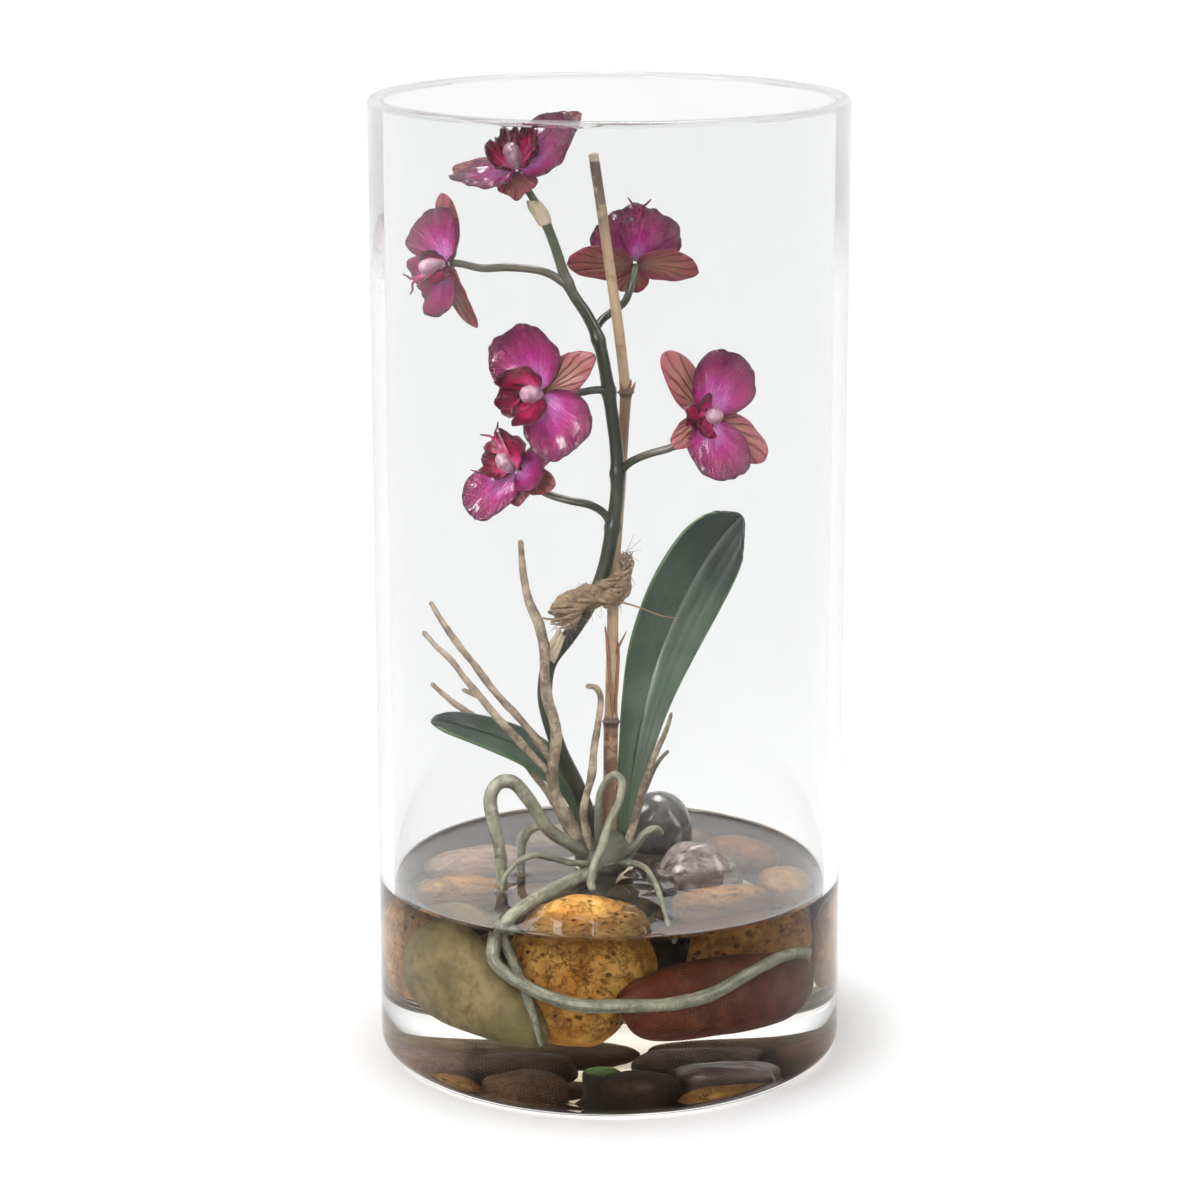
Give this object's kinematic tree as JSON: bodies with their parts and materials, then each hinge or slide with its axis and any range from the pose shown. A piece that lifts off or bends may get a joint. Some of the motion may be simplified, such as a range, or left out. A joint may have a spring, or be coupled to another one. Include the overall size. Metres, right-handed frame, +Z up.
{
  "type": "orchid in glass vase",
  "caption": "Miniature orchid with magenta blooms on a staked stem, rooted over river stones in clear resin water inside a round glass vase.",
  "frame": {"origin": "centre of the vase's underside, at the level of its foot ring", "axes": "+Z up along the vase, -Y towards the front of the arrangement, +X to the viewer's right"},
  "size_m": [0.127, 0.127, 0.262],
  "materials": {
    "clear_glass": "polished, clear and colourless",
    "clear_resin": "clear cast resin with a glossy top, looks like still water",
    "stone_olive": "smooth river-worn stone, wet looking under the resin",
    "stone_ochre": "smooth river-worn stone, wet looking under the resin",
    "stone_red_brown": "smooth river-worn stone, wet looking under the resin",
    "stone_amber": "smooth river-worn stone, wet looking under the resin",
    "stone_porous": "smooth river-worn stone, wet looking under the resin",
    "stone_tawny": "smooth river-worn stone, wet looking under the resin",
    "stone_rust": "smooth river-worn stone, wet looking under the resin",
    "stone_pink_tan": "smooth river-worn stone, wet looking under the resin",
    "stone_tan": "smooth river-worn stone, wet looking under the resin",
    "stone_back": "smooth river-worn stone, wet looking under the resin",
    "stone_purple": "smooth river-worn stone, wet looking under the resin",
    "stone_base": "smooth river-worn stone, wet looking under the resin",
    "stone_grey": "smooth river-worn stone, wet looking under the resin",
    "stone_brown": "smooth river-worn stone, wet looking under the resin",
    "stone_dark": "smooth river-worn stone, wet looking under the resin",
    "stone_umber": "smooth river-worn stone, wet looking under the resin",
    "sepal_coral": "soft printed fabric, coral with darker veins",
    "petal_magenta": "soft printed fabric, magenta with a violet middle and fine veins",
    "lip_crimson": "dark crimson with a frilled edge",
    "column_pale": "pale pink, slightly waxy",
    "stem_green": "dark olive green with a slight sheen",
    "bamboo": "tan cane with brown flecks towards its lower end",
    "leaf_green": "dark grey-green, satin, with long ribs",
    "root_tan": "dry tan, rough",
    "root_green": "pale grey-green with light ridges",
    "husk_beige": "dry papery scale",
    "twine": "coarse natural twine"
  },
  "bodies": {
    "root": {"bamboo_stake": "bamboo", "bloom_back_column": "column_pale", "bloom_back_lip": "lip_crimson", "bloom_back_petals": "petal_magenta", "bloom_back_sepals": "sepal_coral", "bloom_large_column": "column_pale", "bloom_large_lip": "lip_crimson", "bloom_large_petals": "petal_magenta", "bloom_large_sepals": "sepal_coral", "bloom_left_column": "column_pale", "bloom_left_lip": "lip_crimson", "bloom_left_petals": "petal_magenta", "bloom_left_sepals": "sepal_coral", "bloom_low_column": "column_pale", "bloom_low_lip": "lip_crimson", "bloom_low_petals": "petal_magenta", "bloom_low_sepals": "sepal_coral", "bloom_right_column": "column_pale", "bloom_right_lip": "lip_crimson", "bloom_right_petals": "petal_magenta", "bloom_right_sepals": "sepal_coral", "bloom_top_column": "column_pale", "bloom_top_lip": "lip_crimson", "bloom_top_petals": "petal_magenta", "bloom_top_sepals": "sepal_coral", "flower_stem": "stem_green", "leaf_large": "leaf_green", "leaf_small": "leaf_green", "root_crown": "root_green", "root_middle": "root_tan", "root_right": "root_tan", "roots_left": "root_tan", "sheath_low": "husk_beige", "sheath_top": "husk_beige", "stone_amber": "stone_amber", "stone_back": "stone_back", "stone_base": "stone_base", "stone_brown": "stone_brown", "stone_dark": "stone_dark", "stone_grey": "stone_grey", "stone_ochre": "stone_ochre", "stone_olive": "stone_olive", "stone_pink_tan": "stone_pink_tan", "stone_porous": "stone_porous", "stone_purple": "stone_purple", "stone_red_brown": "stone_red_brown", "stone_rust": "stone_rust", "stone_tan": "stone_tan", "stone_tawny": "stone_tawny", "stone_umber": "stone_umber", "twine_tie": "twine", "vase": "clear_glass", "water": "clear_resin"}
  },
  "joints": []
}
